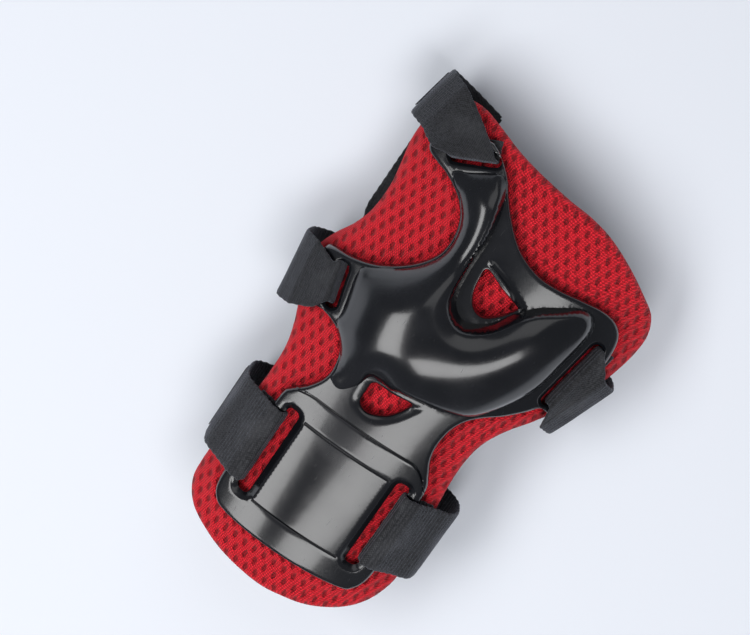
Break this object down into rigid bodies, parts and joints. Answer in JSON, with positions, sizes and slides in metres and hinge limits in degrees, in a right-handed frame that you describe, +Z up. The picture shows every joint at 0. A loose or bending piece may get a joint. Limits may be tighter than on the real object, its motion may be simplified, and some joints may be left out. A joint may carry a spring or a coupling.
{
  "type": "wrist guard",
  "caption": "Slip-on wrist guard for the left hand: moulded palm shell over a padded mesh palm, with elastic straps closed by hook and loop.",
  "frame": {"origin": "middle of the base, on the surface that the closed straps lie on, under the palm", "axes": "+Z up, out of the palm side; +Y towards the fingers; +X towards the little finger of a left hand"},
  "size_m": [0.1232, 0.1862, 0.0654],
  "materials": {
    "shell_plastic": "polished injection-moulded polypropylene",
    "mesh_fabric": "knitted air mesh",
    "foam": "closed-cell foam",
    "lining_fabric": "brushed tricot",
    "elastic": "ribbed woven elastic",
    "hook": "moulded hook tape",
    "loop": "napped loop tape",
    "thread": "bonded polyester thread"
  },
  "bodies": {
    "guard": {"palm_shell": "shell_plastic", "pad_mesh_cover": "mesh_fabric", "pad_foam": "foam", "pad_lining": "lining_fabric", "forearm_strap_base": "elastic", "forearm_strap_tacks": "thread", "forearm_anchor": "elastic", "forearm_anchor_tacks": "thread", "forearm_loop_patch": "loop", "forearm_loop_stitching": "thread", "hand_strap_base": "elastic", "hand_strap_tacks": "thread", "hand_anchor": "elastic", "hand_anchor_tacks": "thread", "hand_loop_patch": "loop", "hand_loop_stitching": "thread", "thumb_band": "elastic", "thumb_band_tacks": "thread"},
    "forearm_flap": {"forearm_strap_flap": "elastic", "forearm_hook_patch": "hook", "forearm_hook_stitching": "thread"},
    "hand_flap": {"hand_strap_flap": "elastic", "hand_hook_patch": "hook", "hand_hook_stitching": "thread"}
  },
  "joints": [
    {"name": "forearm_flap_peel", "type": "hinge", "parent": "guard", "child": "forearm_flap", "pos_m": [-0.03005, -0.0515, 0], "axis": [0, 1, 0], "range_deg": [0, 115]},
    {"name": "hand_flap_peel", "type": "hinge", "parent": "guard", "child": "hand_flap", "pos_m": [0.03335, 0.01839, 0], "axis": [0.1295, -0.9916, 0], "range_deg": [0, 115]}
  ]
}
